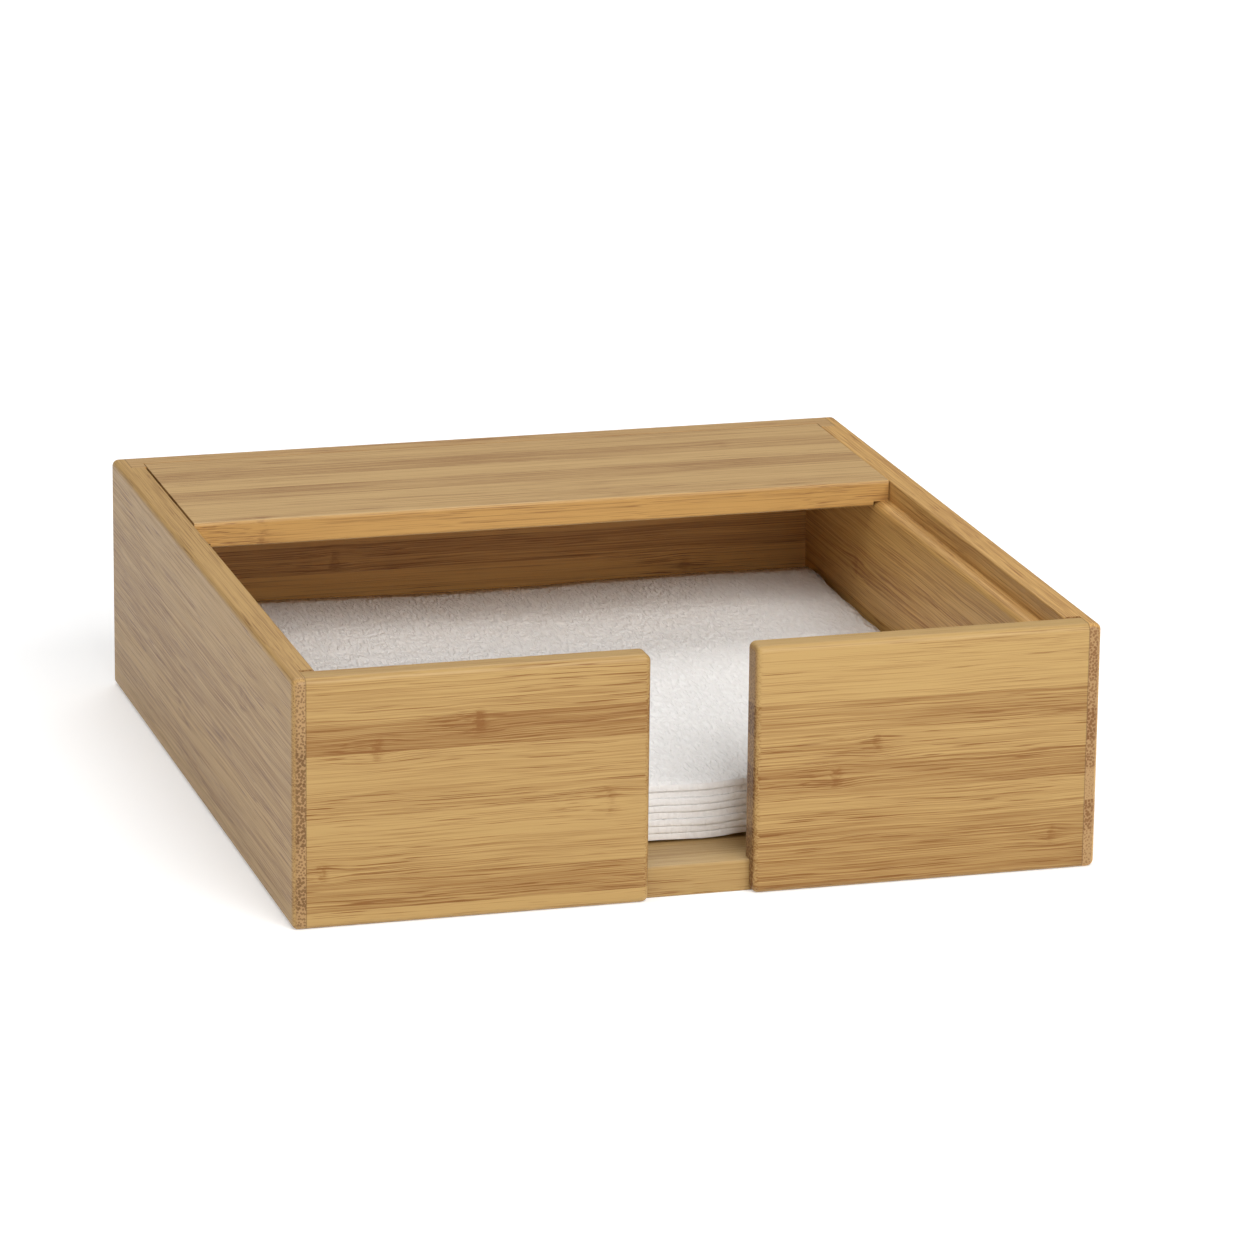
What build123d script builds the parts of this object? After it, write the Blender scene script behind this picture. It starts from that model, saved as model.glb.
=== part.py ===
"""Bamboo napkin box with a thumb slot, a sliding cover panel and a stack of folded napkins."""

import os

from build123d import *

os.makedirs("parts", exist_ok=True)

# Outside of the box, mm, with its origin at the middle of the underside
box_width = 190.0
box_depth = 200.0
box_height = 58.5

# Boards
side_thickness = 10.5
back_thickness = 10.5
front_thickness = 7.2
base_thickness = 7.4
corner_lip = 3.0
slot_width = 24.6

# Rebate that carries the cover along the inner top edge of three walls
rebate_lip = 6.8
rebate_depth = 5.2

# Cover panel
cover_depth = 59.0
cover_thickness = 6.4
cover_side_gap = 0.2
cover_back_gap = 0.2
cover_step_gap = 0.4

# Roundings
edge_radius = 1.6
inner_edge_radius = 0.8
ledge_radius = 2.0
cover_edge_radius = 0.8
base_edge_radius = 0.5

# Folded napkins lying on the base
napkin_side_gap = 2.0
napkin_thickness = 1.9
napkin_count = 8
napkin_front_gap = 10.8
napkin_back_gap = 6.5
napkin_corner_radius = 3.0
napkin_fold_radius = 0.8

# Places worked out from the sizes
outer_x = box_width / 2
inner_x = outer_x - side_thickness
lip_x = outer_x - rebate_lip
joint_x = outer_x - corner_lip
front_y = -box_depth / 2
back_y = box_depth / 2
front_inner_y = front_y + front_thickness
back_inner_y = back_y - back_thickness
base_front_y = front_y + corner_lip
base_back_y = back_y - corner_lip
ledge_z = box_height - rebate_depth
cover_x = lip_x - cover_side_gap
cover_back_y = back_y - rebate_lip - cover_back_gap
cover_front_y = cover_back_y - cover_depth
cover_under_z = box_height - cover_thickness
step_x = inner_x - cover_step_gap
step_back_y = back_inner_y - cover_step_gap
napkin_width = 2 * (inner_x - napkin_side_gap)
napkin_front_y = front_inner_y + napkin_front_gap
napkin_back_y = back_inner_y - napkin_back_gap


# Right side wall: rebated for the cover above and the base below, lips at both ends
with BuildPart() as right_side_wall:
    with BuildSketch(Plane.XZ.offset(-back_y)):
        with BuildLine():
            Polyline(
                (joint_x, 0),
                (outer_x, 0),
                (outer_x, box_height),
                (lip_x, box_height),
                (lip_x, ledge_z),
                (inner_x, ledge_z),
                (inner_x, base_thickness),
                (joint_x, base_thickness),
                close=True,
            )
        make_face()
    extrude(amount=box_depth)
    with BuildSketch():
        with Locations((inner_x, front_y)):
            Rectangle(joint_x - inner_x, front_thickness, align=(Align.MIN, Align.MIN))
        with Locations((inner_x, back_y)):
            Rectangle(joint_x - inner_x, back_thickness, align=(Align.MIN, Align.MAX))
    extrude(amount=box_height, mode=Mode.SUBTRACT)
    outside = faces().sort_by(Axis.X)[-1].edges()
    lip_ends = faces().sort_by(Axis.Y)[0].edges() + faces().sort_by(Axis.Y)[-1].edges()
    fillet(outside + lip_ends.filter_by(Axis.X), edge_radius)
    lengthwise = edges().filter_by(Axis.Y)
    fillet(lengthwise.group_by(Axis.Z)[-1].sort_by(Axis.X)[0], inner_edge_radius)
    ledge_edge = lengthwise.filter_by_position(Axis.Z, ledge_z - ledge_radius / 2, ledge_z + ledge_radius / 2)
    fillet(ledge_edge.sort_by(Axis.X)[0], ledge_radius)
right_side_wall.part.label = "right_side_wall"
export_step(right_side_wall.part, "parts/right_side_wall.step")

# Left side wall: the right one in a mirror
with BuildPart() as left_side_wall:
    mirror(right_side_wall.part, about=Plane.YZ)
left_side_wall.part.label = "left_side_wall"
export_step(left_side_wall.part, "parts/left_side_wall.step")

# Back wall: ends behind the side lips, rebate for the cover stopped at the side rebates
with BuildPart() as back_wall:
    with BuildSketch(Plane.YZ.offset(-joint_x)):
        with BuildLine():
            Polyline(
                (base_back_y, 0),
                (back_y, 0),
                (back_y, box_height),
                (back_inner_y, box_height),
                (back_inner_y, base_thickness),
                (base_back_y, base_thickness),
                close=True,
            )
        make_face()
    extrude(amount=2 * joint_x)
    with BuildSketch(Plane.XY.offset(ledge_z)):
        with Locations((0, back_inner_y)):
            Rectangle(2 * lip_x, back_thickness - rebate_lip, align=(Align.CENTER, Align.MIN))
    extrude(amount=rebate_depth, mode=Mode.SUBTRACT)
    fillet(faces().sort_by(Axis.Y)[-1].edges().filter_by(Axis.X), edge_radius)
back_wall.part.label = "back_wall"
export_step(back_wall.part, "parts/back_wall.step")

# Right front board: from the thumb slot to the right lip, rebated for the base
with BuildPart() as front_right_board:
    with BuildSketch(Plane.YZ.offset(slot_width / 2)):
        with BuildLine():
            Polyline(
                (front_y, 0),
                (base_front_y, 0),
                (base_front_y, base_thickness),
                (front_inner_y, base_thickness),
                (front_inner_y, box_height),
                (front_y, box_height),
                close=True,
            )
        make_face()
    extrude(amount=joint_x - slot_width / 2)
    face_edges = faces().sort_by(Axis.Y)[0].edges()
    slot_end = faces().sort_by(Axis.X)[0].edges()
    slot_top = slot_end.filter_by(Axis.Y).sort_by(Axis.Z)[-1]
    slot_bottom = slot_end.filter_by(Axis.Y).sort_by(Axis.Z)[0]
    slot_upright = slot_end.filter_by(Axis.Z).sort_by(Axis.Y)
    top_back = edges().filter_by(Axis.X).group_by(Axis.Z)[-1].sort_by(Axis.Y)[-1]
    slot_edges = [slot_upright[0], slot_upright[-1], slot_top, slot_bottom]
    fillet(face_edges.filter_by(Axis.X) + [top_back] + slot_edges, edge_radius)
front_right_board.part.label = "front_right_board"
export_step(front_right_board.part, "parts/front_right_board.step")

# Left front board: the right one in a mirror
with BuildPart() as front_left_board:
    mirror(front_right_board.part, about=Plane.YZ)
front_left_board.part.label = "front_left_board"
export_step(front_left_board.part, "parts/front_left_board.step")

# Base panel: let into the walls from below, its front edge shows in the slot
with BuildPart() as base_panel:
    with BuildSketch():
        with Locations((0, (base_front_y + base_back_y) / 2)):
            Rectangle(2 * joint_x, base_back_y - base_front_y)
    extrude(amount=base_thickness)
    fillet(faces().sort_by(Axis.Y)[0].edges().filter_by(Axis.X), base_edge_radius)
base_panel.part.label = "base_panel"
export_step(base_panel.part, "parts/base_panel.step")

# Cover panel: thin margin on the ledges, thicker middle dropping between the walls
with BuildPart() as cover_panel:
    with BuildSketch(Plane.XY.offset(ledge_z)):
        with Locations((0, cover_front_y)):
            Rectangle(2 * cover_x, cover_depth, align=(Align.CENTER, Align.MIN))
    extrude(amount=rebate_depth)
    with BuildSketch(Plane.XY.offset(cover_under_z)):
        with Locations((0, cover_front_y)):
            Rectangle(2 * step_x, step_back_y - cover_front_y, align=(Align.CENTER, Align.MIN))
    extrude(amount=ledge_z - cover_under_z)
    front_edges = faces().sort_by(Axis.Y)[0].edges().filter_by(Axis.X)
    fillet([front_edges.sort_by(Axis.Z)[0], front_edges.sort_by(Axis.Z)[-1]], cover_edge_radius)
cover_panel.part.label = "cover_panel"
export_step(cover_panel.part, "parts/cover_panel.step")

# Folded napkins, from the base upwards
for level in range(napkin_count):
    name = "top_napkin" if level == napkin_count - 1 else f"napkin_{level + 1}"
    with BuildPart() as napkin:
        with BuildSketch(Plane.XY.offset(base_thickness + level * napkin_thickness)):
            with Locations((0, (napkin_front_y + napkin_back_y) / 2)):
                RectangleRounded(napkin_width, napkin_back_y - napkin_front_y, napkin_corner_radius)
        extrude(amount=napkin_thickness)
        faces_up_down = faces().filter_by(Axis.Z)
        fillet(faces_up_down.edges(), napkin_fold_radius)
    napkin.part.label = name
    export_step(napkin.part, f"parts/{name}.step")

print("cover travel", round(cover_front_y - front_inner_y, 2), "mm to the front boards")
print("napkins stand", round(napkin_count * napkin_thickness, 2), "mm high")
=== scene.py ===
import math

import bmesh
import bpy
from mathutils import Matrix, Vector, noise


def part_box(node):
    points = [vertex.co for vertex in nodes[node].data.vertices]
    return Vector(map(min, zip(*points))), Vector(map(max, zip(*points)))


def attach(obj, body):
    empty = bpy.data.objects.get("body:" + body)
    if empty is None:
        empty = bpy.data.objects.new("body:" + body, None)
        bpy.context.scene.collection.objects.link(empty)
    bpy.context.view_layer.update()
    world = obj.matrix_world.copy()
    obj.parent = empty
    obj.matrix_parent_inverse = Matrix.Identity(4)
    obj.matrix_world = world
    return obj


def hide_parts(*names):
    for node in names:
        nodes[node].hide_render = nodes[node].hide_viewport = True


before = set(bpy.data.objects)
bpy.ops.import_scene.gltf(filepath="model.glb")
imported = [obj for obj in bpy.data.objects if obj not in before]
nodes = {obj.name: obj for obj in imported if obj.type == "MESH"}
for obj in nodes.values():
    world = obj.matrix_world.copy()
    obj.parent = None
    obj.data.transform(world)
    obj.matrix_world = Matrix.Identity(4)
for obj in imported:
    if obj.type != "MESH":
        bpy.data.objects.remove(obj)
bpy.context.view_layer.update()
print("frame loaded with", len(nodes), "nodes")

nodeStep = (190, -170)  # room for one node in the editor


# small helpers for node trees
def addNode(tree, kind, place=(0, 0), **props):
    node = tree.nodes.new(kind)
    node.location = (place[0] * nodeStep[0], place[1] * nodeStep[1])
    for key, value in props.items():
        setattr(node, key, value)
    return node


def feed(tree, socket, value):
    if isinstance(value, bpy.types.NodeSocket):
        tree.links.new(value, socket)
    else:
        socket.default_value = value


def calc(tree, operation, first, second=0.0, third=0.0, clamp=False):
    node = addNode(tree, "ShaderNodeMath", operation=operation, use_clamp=clamp)
    feed(tree, node.inputs[0], first)
    feed(tree, node.inputs[1], second)
    feed(tree, node.inputs[2], third)
    return node.outputs[0]


def plus(tree, first, second):
    return calc(tree, "ADD", first, second)


def minus(tree, first, second):
    return calc(tree, "SUBTRACT", first, second)


def times(tree, first, second):
    return calc(tree, "MULTIPLY", first, second)


def over(tree, first, second):
    return calc(tree, "DIVIDE", first, second)


def timesPlus(tree, value, factor, extra):
    return calc(tree, "MULTIPLY_ADD", value, factor, extra)


def unsigned(tree, value):
    return calc(tree, "ABSOLUTE", value)


def sway(tree, value, size, extra=0.0):  # a noise value about its middle, added to something
    return timesPlus(tree, minus(tree, value, 0.5), size, extra)


def span(tree, value, low, high, toLow=0.0, toHigh=1.0):  # smooth step between two limits
    node = addNode(tree, "ShaderNodeMapRange", interpolation_type="SMOOTHSTEP")
    feed(tree, node.inputs["Value"], value)
    feed(tree, node.inputs["From Min"], low)
    feed(tree, node.inputs["From Max"], high)
    feed(tree, node.inputs["To Min"], toLow)
    feed(tree, node.inputs["To Max"], toHigh)
    return node.outputs["Result"]


def splitXyz(tree, vector):
    node = addNode(tree, "ShaderNodeSeparateXYZ")
    feed(tree, node.inputs[0], vector)
    return node.outputs


def joinXyz(tree, x, y, z):
    node = addNode(tree, "ShaderNodeCombineXYZ")
    feed(tree, node.inputs[0], x)
    feed(tree, node.inputs[1], y)
    feed(tree, node.inputs[2], z)
    return node.outputs[0]


def cloud(tree, vector, scale=1.0, detail=2.0, rough=0.5, distortion=0.0):
    node = addNode(tree, "ShaderNodeTexNoise", noise_dimensions="3D")
    feed(tree, node.inputs["Vector"], vector)
    feed(tree, node.inputs["Scale"], scale)
    feed(tree, node.inputs["Detail"], detail)
    feed(tree, node.inputs["Roughness"], rough)
    feed(tree, node.inputs["Distortion"], distortion)
    return node.outputs[0]


def blendColour(tree, amount, first, second, mode="MIX"):
    node = addNode(tree, "ShaderNodeMix", data_type="RGBA", blend_type=mode)
    feed(tree, node.inputs[0], amount)
    feed(tree, node.inputs[6], first)
    feed(tree, node.inputs[7], second)
    return node.outputs[2]


def facing(tree, coords, axis):  # 1 where a face looks along the axis
    node = addNode(tree, "ShaderNodeVectorMath", (-5, 2), operation="DOT_PRODUCT")
    feed(tree, node.inputs[0], coords.outputs["Normal"])
    feed(tree, node.inputs[1], axis)
    return node.outputs["Value"]


def addBump(tree, surface, height, strength, distance):
    bump = addNode(tree, "ShaderNodeBump", (-1, 2))
    bump.inputs["Strength"].default_value = strength
    bump.inputs["Distance"].default_value = distance
    feed(tree, bump.inputs["Height"], height)
    feed(tree, surface.inputs["Normal"], bump.outputs["Normal"])


def socketIn(group, name, kind, value=None):
    socket = group.interface.new_socket(name=name, in_out="INPUT", socket_type=kind)
    if value is not None:
        socket.default_value = value


def socketOut(group, name, kind):
    group.interface.new_socket(name=name, in_out="OUTPUT", socket_type=kind)


# one knot in the bamboo: a ragged cross mark, dashes running into it, fibres bent round it, mm
knotMark = dict(
    ragged=(0.5, 1.1),  # noise steps for each mm along the grain and across it
    streak=(0.11, 3.0),
    lean=5.0,
    halfWidth=(1.6, 3.7),  # fades from the first to the second
    core=(0.2, 1.9),
    coreBreak=(0.36, 0.6),
    coreFaint=0.25,
    coreDark=0.45,
    tailShift=5.0,  # the dashes lie more to one side
    tail=(2.0, 13.0),
    tailBreak=(0.52, 0.62),
    tailDark=0.8,
    bendReach=(0.03, 0.12),
    bend=-0.45,
)


def stretch(tree, u, v, w, steps, start):
    along, across = steps
    return joinXyz(tree, times(tree, u, along), times(tree, v, across), timesPlus(tree, w, across, start))


def makeKnotGroup():
    group = bpy.data.node_groups.new("bambooKnot", "ShaderNodeTree")
    socketIn(group, "Vector", "NodeSocketVector")
    for name, value in (("Along", 0.0), ("Across", 0.0), ("Size", 1.0), ("Strength", 1.0)):
        socketIn(group, name, "NodeSocketFloat", value)
    socketOut(group, "Mark", "NodeSocketFloat")
    socketOut(group, "Bend", "NodeSocketFloat")
    given = addNode(group, "NodeGroupInput", (-8, 0)).outputs
    result = addNode(group, "NodeGroupOutput", (12, 0)).inputs
    u, v, w = splitXyz(group, given["Vector"])
    du = over(group, minus(group, u, given["Along"]), given["Size"])
    dv = over(group, minus(group, v, given["Across"]), given["Size"])
    ragged = cloud(group, stretch(group, u, v, w, knotMark["ragged"], given["Along"]), detail=3.0, rough=0.6)
    streak = cloud(group, stretch(group, u, v, w, knotMark["streak"], given["Across"]))

    # the mark and its dashes
    near = span(group, unsigned(group, dv), *knotMark["halfWidth"], 1.0, 0.0)
    lean = unsigned(group, sway(group, ragged, knotMark["lean"], du))
    broken = span(group, ragged, *knotMark["coreBreak"], knotMark["coreFaint"], 1.0)
    core = times(group, span(group, lean, *knotMark["core"], 1.0, 0.0), broken)
    before = unsigned(group, plus(group, du, knotMark["tailShift"]))
    dashes = span(group, streak, *knotMark["tailBreak"])
    tail = times(group, span(group, before, *knotMark["tail"], 1.0, 0.0), dashes)
    mark = timesPlus(group, core, knotMark["coreDark"], times(group, tail, knotMark["tailDark"]))
    feed(group, result["Mark"], times(group, times(group, mark, near), given["Strength"]))

    # the fibres part round it
    alongReach, acrossReach = knotMark["bendReach"]
    away = times(group, times(group, du, du), alongReach)
    away = plus(group, away, times(group, times(group, dv, dv), acrossReach))
    push = times(group, dv, calc(group, "EXPONENT", times(group, away, -1.0)))
    feed(group, result["Bend"], times(group, push, knotMark["bend"]))
    return group


# bamboo board: strips glued side by side, u along the grain, v across the strips, w through the board, mm
grain = dict(
    mottle=dict(length=70.0, width=8.0, detail=3.0, rough=0.55),  # along the grain and across it
    wander=dict(length=45.0, width=30.0, detail=2.0, rough=0.5),
    fibre=dict(length=50.0, width=0.4, detail=4.0, rough=0.62),
    dash=dict(length=15.0, width=0.3, detail=1.5, rough=0.5),
    hair=dict(length=30.0, width=0.2, detail=1.0, rough=0.5),
    wanderSize=1.6,
    stripShift=3.17,  # these three start the pattern afresh with each seed and strip
    seedShift=211.0,
    offsetShift=900.0,
    dashPatch=(0.36, 0.62, 0.15, 1.0),  # dashes come in patches
    dashBreak=(0.57, 0.7),
    glueWidth=(0.478, 0.498),
    glueByStrip=(0.3, 0.8, 0.15, 0.8),
    seamEdge=(-0.3, -0.05),
    middleTone=0.22,
    hairTone=0.75,
    mottleTone=0.5,
    dashTone=0.9,
    glueTone=0.16,
    seamTone=0.55,
    seamColour=(0.09, 0.04, 0.012, 1),
    dashHeight=-0.5,
    knotHeight=-0.3,
    seamHeight=-1.5,
    roughness=0.46,
    roughnessSway=0.3,
)

# cut ends: dark bundles on a paler ground, closer together in some strips
endGrain = dict(
    ground=(0.44, 0.265, 0.11, 1),
    shade=(0.62, 0.6, 0.6, 1),
    dotsPerMm=1.5,
    dotSize=0.3,
    dotSizeByStrip=0.3,
    dotEdge=0.14,
    dotTone=0.62,
    stripTone=0.5,
    glueTone=0.3,
    middleTone=0.08,
)


def grainCloud(tree, u, v, w, shape):
    width = shape["width"]
    vector = joinXyz(tree, over(tree, u, shape["length"]), over(tree, v, width), over(tree, w, width))
    return cloud(tree, vector, detail=shape["detail"], rough=shape["rough"])


def makeBambooGroup():
    group = bpy.data.node_groups.new("bambooGrain", "ShaderNodeTree")
    socketIn(group, "Vector", "NodeSocketVector")
    for name in ("Ground", "Fibre"):
        socketIn(group, name, "NodeSocketColor")
    perBoard = ("Strip Width", "Strip Contrast", "Fibre Contrast", "Seam", "Seed")
    for name in perBoard + ("Cut End", "Knots", "Bend"):
        socketIn(group, name, "NodeSocketFloat")
    socketOut(group, "Colour", "NodeSocketColor")
    socketOut(group, "Roughness", "NodeSocketFloat")
    socketOut(group, "Height", "NodeSocketFloat")
    given = addNode(group, "NodeGroupInput", (-8, 0)).outputs
    result = addNode(group, "NodeGroupOutput", (12, 0)).inputs
    u, v, w = splitXyz(group, given["Vector"])
    seed = given["Seed"]
    knot = given["Knots"]

    # which strip, and two chance numbers for it
    across = over(group, timesPlus(group, seed, grain["stripShift"], v), given["Strip Width"])
    chance = addNode(group, "ShaderNodeTexWhiteNoise", noise_dimensions="2D")
    feed(group, chance.inputs["Vector"], joinXyz(group, calc(group, "FLOOR", across), seed, 0.0))
    pick = addNode(group, "ShaderNodeSeparateColor")
    feed(group, pick.inputs[0], chance.outputs["Color"])
    shade, offset = pick.outputs[0], pick.outputs[1]

    # grain that starts afresh in each strip
    start = timesPlus(group, offset, grain["offsetShift"], times(group, seed, grain["seedShift"]))
    along = plus(group, u, start)
    mottle = grainCloud(group, along, v, w, grain["mottle"])
    wander = grainCloud(group, along, v, 0.0, grain["wander"])
    vBent = plus(group, timesPlus(group, wander, grain["wanderSize"], v), given["Bend"])
    fibres = grainCloud(group, along, vBent, w, grain["fibre"])
    dashes = grainCloud(group, along, vBent, w, grain["dash"])
    hairs = grainCloud(group, along, vBent, w, grain["hair"])
    patches = span(group, mottle, *grain["dashPatch"])
    dashLine = times(group, span(group, dashes, *grain["dashBreak"]), patches)

    # glue line between strips, and the joint to the next board
    fromMiddle = unsigned(group, minus(group, calc(group, "FRACT", across), 0.5))
    glue = span(group, fromMiddle, *grain["glueWidth"])
    glue = times(group, glue, span(group, shade, *grain["glueByStrip"]))
    seam = span(group, minus(group, unsigned(group, u), given["Seam"]), *grain["seamEdge"])

    # colour of the faces along the grain
    tone = sway(group, fibres, given["Fibre Contrast"], grain["middleTone"])
    tone = sway(group, hairs, times(group, given["Fibre Contrast"], grain["hairTone"]), tone)
    tone = sway(group, mottle, grain["mottleTone"], tone)
    tone = sway(group, shade, given["Strip Contrast"], tone)
    tone = timesPlus(group, dashLine, grain["dashTone"], tone)
    tone = timesPlus(group, glue, grain["glueTone"], tone)
    tone = calc(group, "ADD", tone, knot, clamp=True)
    faceColour = blendColour(group, tone, given["Ground"], given["Fibre"])

    # colour of the cut ends
    spots = addNode(group, "ShaderNodeTexVoronoi", voronoi_dimensions="2D", feature="F1")
    feed(group, spots.inputs["Vector"], joinXyz(group, v, w, 0.0))
    feed(group, spots.inputs["Scale"], endGrain["dotsPerMm"])
    dotSize = timesPlus(group, shade, endGrain["dotSizeByStrip"], endGrain["dotSize"])
    dotCore = minus(group, dotSize, endGrain["dotEdge"])
    dots = span(group, spots.outputs["Distance"], dotCore, dotSize, 1.0, 0.0)
    endTone = timesPlus(group, dots, endGrain["dotTone"], endGrain["middleTone"])
    endTone = sway(group, shade, endGrain["stripTone"], endTone)
    endTone = timesPlus(group, glue, endGrain["glueTone"], endTone)
    endTone = calc(group, "ADD", sway(group, mottle, grain["mottleTone"], endTone), 0.0, clamp=True)
    endDark = blendColour(group, 1.0, given["Fibre"], endGrain["shade"], "MULTIPLY")
    endColour = blendColour(group, endTone, endGrain["ground"], endDark)

    colour = blendColour(group, given["Cut End"], faceColour, endColour)
    colour = blendColour(group, times(group, seam, grain["seamTone"]), colour, grain["seamColour"])
    feed(group, result["Colour"], colour)
    feed(group, result["Roughness"], sway(group, fibres, grain["roughnessSway"], grain["roughness"]))
    height = timesPlus(group, dashLine, grain["dashHeight"], fibres)
    height = timesPlus(group, knot, grain["knotHeight"], height)
    feed(group, result["Height"], timesPlus(group, seam, grain["seamHeight"], height))
    print("grain group has", len(group.nodes), "nodes")
    return group


knotGroup = makeKnotGroup()
bambooGroup = makeBambooGroup()

# how the grain lies: turned so that u follows it, and the axis that its cut ends face
quarter = math.pi / 2
lyingFlat = dict(turn=(0, 0, 0), grainAxis=(1, 0, 0))
acrossFront = dict(turn=(-quarter, 0, 0), grainAxis=(1, 0, 0))
alongSide = dict(turn=(-quarter, -quarter, 0), grainAxis=(0, 1, 0))

seamAtLips = 92.0  # half the length between the lips of the side walls, mm
noSeam = 500.0
facesFront = (0, -1, 0)

# each knot: place along the grain, place across it, size, strength
boards = {
    "front_left_board": dict(
        slot="bamboo_front_left", lay=acrossFront, seed=8.0, seam=seamAtLips, strip=7.3,
        ground=(0.485, 0.306, 0.107, 1), fibre=(0.23, 0.090, 0.013, 1),
        stripContrast=0.8, fibreContrast=1.9,
        knots=((-52, 46, 1.0, 1.0), (-75.5, 41, 1.0, 0.8), (-21.5, 25, 1.2, 0.7), (-88, 13, 0.8, 0.9)),
    ),
    "front_right_board": dict(
        slot="bamboo_front_right", lay=acrossFront, seed=9.0, seam=seamAtLips, strip=7.3,
        ground=(0.50, 0.316, 0.11, 1), fibre=(0.23, 0.090, 0.013, 1),
        stripContrast=0.65, fibreContrast=1.9,
        knots=((41.5, 34, 0.9, 0.6), (32, 26.5, 0.9, 0.9), (84, 9, 0.8, 0.5)),
    ),
    "left_side_wall": dict(
        slot="bamboo_left_side", lay=alongSide, seed=3.0, seam=noSeam, strip=7.3,
        # bamboo ground darker than the right wall's: painted shade for the outer face, which turns away from
        # the lamps
        ground=(0.53, 0.325, 0.115, 1), fibre=(0.24, 0.11, 0.026, 1),
        stripContrast=0.45, fibreContrast=2.0,
        knots=((20, 17, 1.0, 0.6), (-48, 39, 1.0, 0.5)),
    ),
    "right_side_wall": dict(
        slot="bamboo_right_side", lay=alongSide, seed=4.0, seam=noSeam, strip=7.3,
        # bamboo ground lighter than the left wall's: painted light for the inner face, which lies in shade
        # inside the box
        ground=(0.67, 0.40, 0.13, 1), fibre=(0.32, 0.13, 0.028, 1),
        stripContrast=0.5, fibreContrast=2.1,
        knots=((48, 33, 1.0, 0.7), (-30, 20, 1.0, 0.7)),
    ),
    "back_wall": dict(
        slot="bamboo_back", lay=acrossFront, seed=5.0, seam=seamAtLips, strip=7.3,
        # the back wall's front-looking faces form its inner face: frontTone there is a darker, redder
        # painted shade for the light that reaches it only off the bamboo inside the box
        ground=(0.55, 0.35, 0.145, 1), fibre=(0.27, 0.105, 0.022, 1), frontTone=(0.62, 0.325, 0.097, 1),
        stripContrast=0.5, fibreContrast=1.9,
        knots=((-40, 31, 1.0, 0.8), (52, 24, 1.0, 0.6), (10, 45, 1.0, 0.6)),
    ),
    "base_panel": dict(
        slot="bamboo_base", lay=lyingFlat, seed=6.0, seam=noSeam, strip=9.0,
        ground=(0.50, 0.345, 0.15, 1), fibre=(0.26, 0.115, 0.025, 1), frontTone=(0.44, 0.28, 0.10, 1),
        stripContrast=0.45, fibreContrast=2.0,
        knots=((-50, -40, 1.2, 0.8), (35, 15, 1.2, 0.8), (-10, 62, 1.2, 0.8)),
    ),
    "cover_panel": dict(
        slot="bamboo_cover", lay=lyingFlat, seed=7.0, seam=noSeam, strip=9.5,
        ground=(0.57, 0.37, 0.155, 1), fibre=(0.27, 0.12, 0.033, 1), frontTone=(0.56, 0.315, 0.095, 1),
        stripContrast=0.5, fibreContrast=2.4,
        knots=((-71, 34, 1.0, 1.0), (58, 78, 1.0, 0.4)),
    ),
}
boardFinish = dict(
    toMm=1000,
    cutEnd=(0.72, 0.95),  # how squarely a face looks that way before it counts
    frontEdge=(0.4, 0.9),
    bump=0.35,
    bumpDepth=0.0002,
    specular=0.4,
)


def makeBoardMaterial(name, look):
    material = bpy.data.materials.new(look["slot"])
    material.use_nodes = True
    tree = material.node_tree
    surface = tree.nodes["Principled BSDF"]
    coords = addNode(tree, "ShaderNodeTexCoord", (-6, 0))
    mapping = addNode(tree, "ShaderNodeMapping", (-5, 0))
    mapping.inputs["Rotation"].default_value = look["lay"]["turn"]
    mapping.inputs["Scale"].default_value = (boardFinish["toMm"],) * 3
    feed(tree, mapping.inputs["Vector"], coords.outputs["Object"])
    cutEnd = unsigned(tree, facing(tree, coords, look["lay"]["grainAxis"]))

    bamboo = addNode(tree, "ShaderNodeGroup", (-3, 0), node_tree=bambooGroup)
    feed(tree, bamboo.inputs["Vector"], mapping.outputs["Vector"])
    feed(tree, bamboo.inputs["Cut End"], span(tree, cutEnd, *boardFinish["cutEnd"]))
    bamboo.inputs["Ground"].default_value = look["ground"]
    bamboo.inputs["Fibre"].default_value = look["fibre"]
    bamboo.inputs["Strip Width"].default_value = look["strip"]
    bamboo.inputs["Strip Contrast"].default_value = look["stripContrast"]
    bamboo.inputs["Fibre Contrast"].default_value = look["fibreContrast"]
    bamboo.inputs["Seam"].default_value = look["seam"]
    bamboo.inputs["Seed"].default_value = look["seed"]
    if "frontTone" in look:  # faces that look to the front get a colour of their own; on the back wall it is painted shade for the inner face
        toFront = span(tree, facing(tree, coords, facesFront), *boardFinish["frontEdge"])
        feed(tree, bamboo.inputs["Ground"], blendColour(tree, toFront, look["ground"], look["frontTone"]))

    marks = 0.0
    bends = 0.0
    for along, across, size, strength in look["knots"]:
        knot = addNode(tree, "ShaderNodeGroup", (-4, 4), node_tree=knotGroup)
        feed(tree, knot.inputs["Vector"], mapping.outputs["Vector"])
        knot.inputs["Along"].default_value = along
        knot.inputs["Across"].default_value = across
        knot.inputs["Size"].default_value = size
        knot.inputs["Strength"].default_value = strength
        marks = plus(tree, knot.outputs["Mark"], marks)
        bends = plus(tree, knot.outputs["Bend"], bends)
    feed(tree, bamboo.inputs["Knots"], marks)
    feed(tree, bamboo.inputs["Bend"], bends)

    addBump(tree, surface, bamboo.outputs["Height"], boardFinish["bump"], boardFinish["bumpDepth"])
    feed(tree, surface.inputs["Base Color"], bamboo.outputs["Colour"])
    feed(tree, surface.inputs["Roughness"], bamboo.outputs["Roughness"])
    surface.inputs["Specular IOR Level"].default_value = boardFinish["specular"]
    for place in nodes[name].material_slots:
        place.material = material


for name, look in boards.items():
    makeBoardMaterial(name, look)
print("boards finished:", ", ".join(boards))


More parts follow.
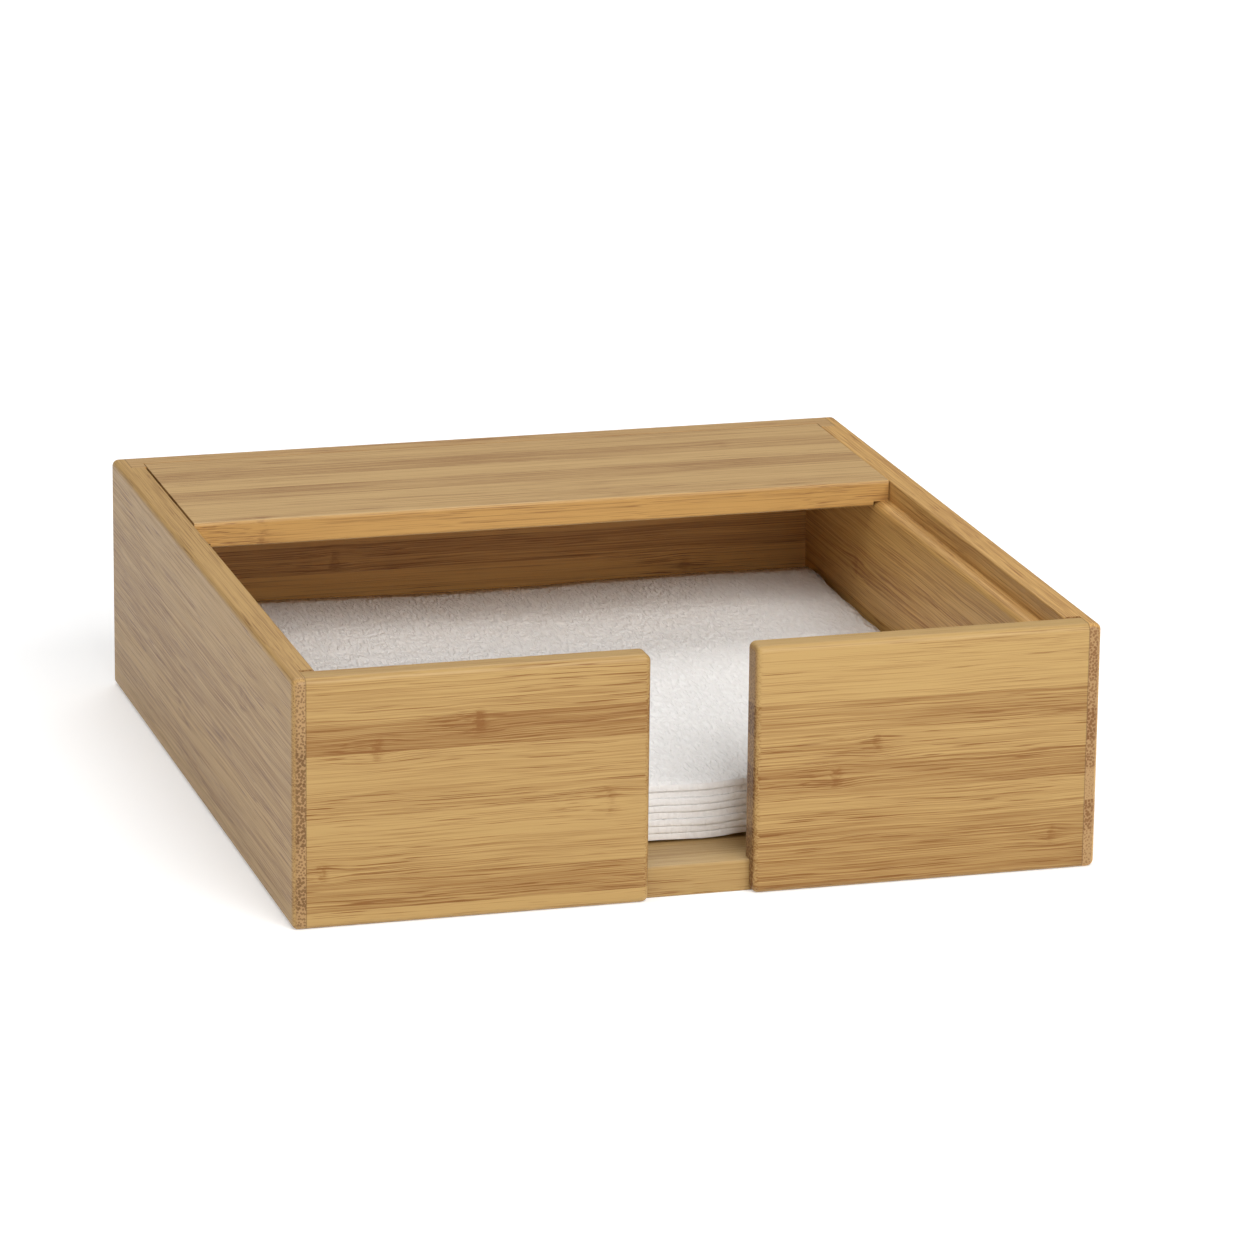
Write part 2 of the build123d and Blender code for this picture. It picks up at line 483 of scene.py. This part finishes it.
# napkin paper: fine slanting ridges pressed into soft white tissue
tissue = dict(
    turn=14,
    ridges=(1000, 380, 500),
    ridgeBreak=(0.35, 0.65),
    ridgeTwist=0.3,
    flecks=2300.0,
    fleckHeight=0.35,
    upright=(0.6, 0.95, 0.25, 1.0),  # ridges fade where the paper turns upright
    # colours across the pressed ridges: painted shade in the dips, painted highlight on the crests
    shadedDip=(0.80, 0.78, 0.76, 1),
    litCrest=(0.95, 0.94, 0.925, 1),
    bump=0.95,
    bumpDepth=0.0003,
    roughness=0.9,
    specular=0.15,
    sheen=0.12,
    sheenRoughness=0.6,
)


def makeTissueMaterial():
    material = bpy.data.materials.new("napkin_paper")
    material.use_nodes = True
    tree = material.node_tree
    surface = tree.nodes["Principled BSDF"]
    coords = addNode(tree, "ShaderNodeTexCoord", (-6, 0))
    mapping = addNode(tree, "ShaderNodeMapping", (-5, 0))
    mapping.inputs["Rotation"].default_value = (0, 0, math.radians(tissue["turn"]))
    mapping.inputs["Scale"].default_value = tissue["ridges"]
    feed(tree, mapping.inputs["Vector"], coords.outputs["Object"])
    ridges = cloud(tree, mapping.outputs["Vector"], distortion=tissue["ridgeTwist"])
    flecks = cloud(tree, coords.outputs["Object"], scale=tissue["flecks"])
    height = timesPlus(tree, flecks, tissue["fleckHeight"], span(tree, ridges, *tissue["ridgeBreak"]))
    lying = unsigned(tree, splitXyz(tree, coords.outputs["Normal"])[2])
    height = times(tree, height, span(tree, lying, *tissue["upright"]))
    addBump(tree, surface, height, tissue["bump"], tissue["bumpDepth"])
    # the ridges also set the colour: painted shade in the dips, painted highlight on the crests
    feed(tree, surface.inputs["Base Color"], blendColour(tree, ridges, tissue["shadedDip"], tissue["litCrest"]))
    surface.inputs["Roughness"].default_value = tissue["roughness"]
    surface.inputs["Specular IOR Level"].default_value = tissue["specular"]
    surface.inputs["Sheen Weight"].default_value = tissue["sheen"]
    surface.inputs["Sheen Roughness"].default_value = tissue["sheenRoughness"]
    return material


napkinPaper = makeTissueMaterial()

# napkins: each one is a square folded in four, two sheets one inside the other round the front fold, m
napkin = dict(
    flat=(0.33, 0.33),
    paper=0.0002,
    layerGap=0.00055,
    outerFold=1.5,  # layer gaps from the middle of the napkin
    innerFold=0.5,
    noseLength=0.1,
    pieces=62,
    rows=38,
    roundFold=8,
    frontPress=0.13,  # the stack is pressed thinner at its front
    pressReach=6,  # these reaches are parts of the depth: 6 is the first sixth
    frontLift=0.0011,
    liftReach=9,
    foldWave=0.0004,
    waveReach=12,
    rearLift=0.0019,
    crinkle=0.00007,
    edgeWave=0.0014,
    drift=0.0006,
    frontDrift=0.0002,
    turn=0.006,
)
ripples = dict(side=(55, 8), rear=45, swell=22, front=95, fold=70, crinkle=90, leaves=3000)  # for each metre


def ruffle(x, y, z):
    return noise.noise(Vector((x, y, z)))


def nearFront(share, reach):  # 1 at the front fold, 0 from the reach on
    return max(0.0, 1 - share * reach)


def foldPlace(step, foldY, run, radius):  # lower leaf from the rear, round the fold, upper leaf to the rear
    rows = napkin["rows"]
    arc = napkin["roundFold"]
    if step <= rows:
        return foldY + run * (1 - step / rows), -radius
    if step < rows + arc:
        angle = math.pi * (step - rows) / arc
        return foldY - radius * napkin["noseLength"] * math.sin(angle), -radius * math.cos(angle)
    return foldY + run * (step - rows - arc) / rows, radius


def paperLift(x, y, z, share, level, count):  # how far the paper stands off the one below
    swell = ruffle(x * ripples["swell"], y * ripples["swell"], 1.3) * 0.5 + 0.5
    lift = napkin["rearLift"] * swell * (level + 1) / count * min(1.0, 3 * share)
    wave = max(0.1, 0.7 + 1.2 * ruffle(x * ripples["front"], 2.0, 0.0))
    lift += napkin["frontLift"] * wave * nearFront(share, napkin["liftReach"]) ** 2
    layer = level * 5.0 + z * ripples["leaves"]
    return lift + napkin["crinkle"] * ruffle(x * ripples["crinkle"], y * ripples["crinkle"], layer)


def foldSheet(mesh, low, high, floorZ, radius, level, count):
    width = high.x - low.x
    midX = (high.x + low.x) / 2
    midZ = (high.z + low.z) / 2
    steps = 2 * napkin["rows"] + napkin["roundFold"]
    foldY = low.y + napkin["layerGap"] * napkin["outerFold"] + napkin["paper"]
    run = high.y - foldY
    shiftX = napkin["drift"] * math.sin(level * 2.3 + 0.6)  # no two napkins lie quite alike
    shiftY = napkin["frontDrift"] * math.sin(level * 4.1 + 1.7)
    turn = napkin["turn"] * math.sin(level * 3.3 + 0.4)
    made = bmesh.ops.create_grid(mesh, x_segments=napkin["pieces"], y_segments=steps, size=0.5)
    for vert in made["verts"]:
        x = vert.co.x * width
        y, z = foldPlace(round((vert.co.y + 0.5) * steps), foldY, run, radius)
        share = (y - low.y) / (high.y - low.y)
        side = abs(x) / (width / 2)
        leaf = 3.0 if z > 0 else 0.0
        sideLength, sideWidth = ripples["side"]
        sideWave = ruffle(y * sideLength, x * sideWidth, level * 1.7 + leaf) * side**6
        x += math.copysign(napkin["edgeWave"] * sideWave, x)
        rearWave = (0.6 + ruffle(x * ripples["rear"], level * 2.9, 7.0 + leaf)) * max(0.0, share) ** 8
        y -= napkin["edgeWave"] * rearWave
        lift = paperLift(x, y, z, share, level, count)
        foldWave = ruffle(x * ripples["fold"], level * 3.7, 4.0) * nearFront(share, napkin["waveReach"])
        y += napkin["foldWave"] * foldWave
        press = 1 - napkin["frontPress"] * nearFront(share, napkin["pressReach"]) ** 2
        turnedX = x * math.cos(turn) - (y - foldY) * math.sin(turn) * 0.5
        turnedY = y + x * math.sin(turn) * 0.5
        vert.co.x = midX + turnedX + shiftX
        vert.co.y = turnedY + shiftY * (1 - share)
        vert.co.z = floorZ + (midZ - floorZ + z) * press + lift


def makeNapkin(level, count, node, body):
    low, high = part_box(node)
    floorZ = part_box("base_panel")[1].z
    mesh = bmesh.new()
    for fold in (napkin["outerFold"], napkin["innerFold"]):
        foldSheet(mesh, low, high, floorZ, napkin["layerGap"] * fold, level, count)
    for face in mesh.faces:
        face.smooth = True
    data = bpy.data.meshes.new("folded_" + node)
    mesh.to_mesh(data)
    mesh.free()
    data.materials.append(napkinPaper)
    piece = bpy.data.objects.new("folded_" + node, data)
    bpy.context.scene.collection.objects.link(piece)
    wall = piece.modifiers.new("paper", "SOLIDIFY")
    wall.thickness = napkin["paper"]
    wall.offset = 0.0
    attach(piece, body)
    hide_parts(node)
    return piece


stack = ["napkin_%d" % number for number in range(1, 8)] + ["top_napkin"]
for level, node in enumerate(stack):
    piece = makeNapkin(level, len(stack), node, "top_napkin" if node == "top_napkin" else "napkins")
print("napkins folded:", len(stack))


# plain white room
room = dict(
    floorSize=8.0,
    floorColour=(0.9, 0.9, 0.9, 1),
    floorRoughness=0.6,
    ambient=0.13,
    glow=(0.3, 1.0),  # near the box and far away, so that the far floor stays white
    glowReach=(0.3, 1.4),
)


def makeFloor():
    mesh = bmesh.new()
    bmesh.ops.create_grid(mesh, x_segments=1, y_segments=1, size=room["floorSize"] / 2)
    data = bpy.data.meshes.new("floor")
    mesh.to_mesh(data)
    mesh.free()
    floor = bpy.data.objects.new("floor", data)
    bpy.context.scene.collection.objects.link(floor)
    material = bpy.data.materials.new("white floor")
    material.use_nodes = True
    tree = material.node_tree
    surface = tree.nodes["Principled BSDF"]
    surface.inputs["Base Color"].default_value = room["floorColour"]
    surface.inputs["Roughness"].default_value = room["floorRoughness"]
    surface.inputs["Specular IOR Level"].default_value = 0.0
    surface.inputs["Emission Color"].default_value = (1, 1, 1, 1)
    ray = addNode(tree, "ShaderNodeLightPath")
    seen = calc(tree, "MAXIMUM", ray.outputs["Is Camera Ray"], ray.outputs["Is Glossy Ray"])
    coords = addNode(tree, "ShaderNodeTexCoord")
    away = addNode(tree, "ShaderNodeVectorMath", operation="LENGTH")
    feed(tree, away.inputs[0], coords.outputs["Object"])
    glow = span(tree, away.outputs["Value"], *room["glowReach"], *room["glow"])
    feed(tree, surface.inputs["Emission Strength"], times(tree, seen, glow))
    data.materials.append(material)


def makeWorld():
    world = bpy.data.worlds.new("white room")
    bpy.context.scene.world = world
    world.use_nodes = True
    tree = world.node_tree
    back = tree.nodes["Background"]
    back.inputs["Color"].default_value = (1, 1, 1, 1)
    ray = addNode(tree, "ShaderNodeLightPath", (-3, 0))
    strength = timesPlus(tree, ray.outputs["Is Camera Ray"], 1 - room["ambient"], room["ambient"])
    feed(tree, back.inputs["Strength"], strength)


lampAim = (0, 0, 0.03)
lamps = (
    dict(name="low front box", place=(0.3, -1.5, 0.75), size=(1.2, 0.9), power=9),
    dict(name="high front box", place=(0.35, -1.05, 1.1), size=(1.2, 0.9), power=13.2),
    dict(name="left box", place=(-0.95, -0.65, 1.25), size=(1.0, 0.9), power=6.5),
    dict(name="rear box", place=(0.0, 0.8, 1.2), size=(1.2, 0.8), power=8.4),
)


def makeLamp(name, place, size, power):
    lamp = bpy.data.lights.new(name, "AREA")
    lamp.shape = "RECTANGLE"
    lamp.size, lamp.size_y = size
    lamp.energy = power
    holder = bpy.data.objects.new(name, lamp)
    holder.location = place
    holder.rotation_euler = (Vector(lampAim) - Vector(place)).to_track_quat("-Z", "Y").to_euler()
    bpy.context.scene.collection.objects.link(holder)


makeFloor()
makeWorld()
for lamp in lamps:
    makeLamp(**lamp)
print("lamps placed:", len(lamps))

lensView = dict(
    azimuth=-16.18,
    elevation=16.05,
    roll=0.68,
    away=1.49387,
    aim=(0.00956, 0.0, 0.03676),
    lens=179.53,
    sensor=36,
    clip=(0.05, 50),
)


def makeCamera():
    turn = math.radians(lensView["azimuth"])
    rise = math.radians(lensView["elevation"])
    roll = math.radians(lensView["roll"])
    back = Vector((math.sin(turn) * math.cos(rise), -math.cos(turn) * math.cos(rise), math.sin(rise)))
    right = (-back).cross(Vector((0, 0, 1))).normalized()
    up = right.cross(-back)
    rightRolled = right * math.cos(roll) + up * math.sin(roll)
    upRolled = up * math.cos(roll) - right * math.sin(roll)
    data = bpy.data.cameras.new("photo view")
    data.lens = lensView["lens"]
    data.sensor_width = lensView["sensor"]
    data.clip_start, data.clip_end = lensView["clip"]
    camera = bpy.data.objects.new("photo view", data)
    matrix = Matrix((rightRolled, upRolled, back)).transposed().to_4x4()
    matrix.translation = Vector(lensView["aim"]) + back * lensView["away"]
    camera.matrix_world = matrix
    bpy.context.scene.collection.objects.link(camera)
    bpy.context.scene.camera = camera
    print("camera", round(lensView["away"], 3), "m from the box")


makeCamera()
bpy.context.scene.view_settings.view_transform = "Standard"
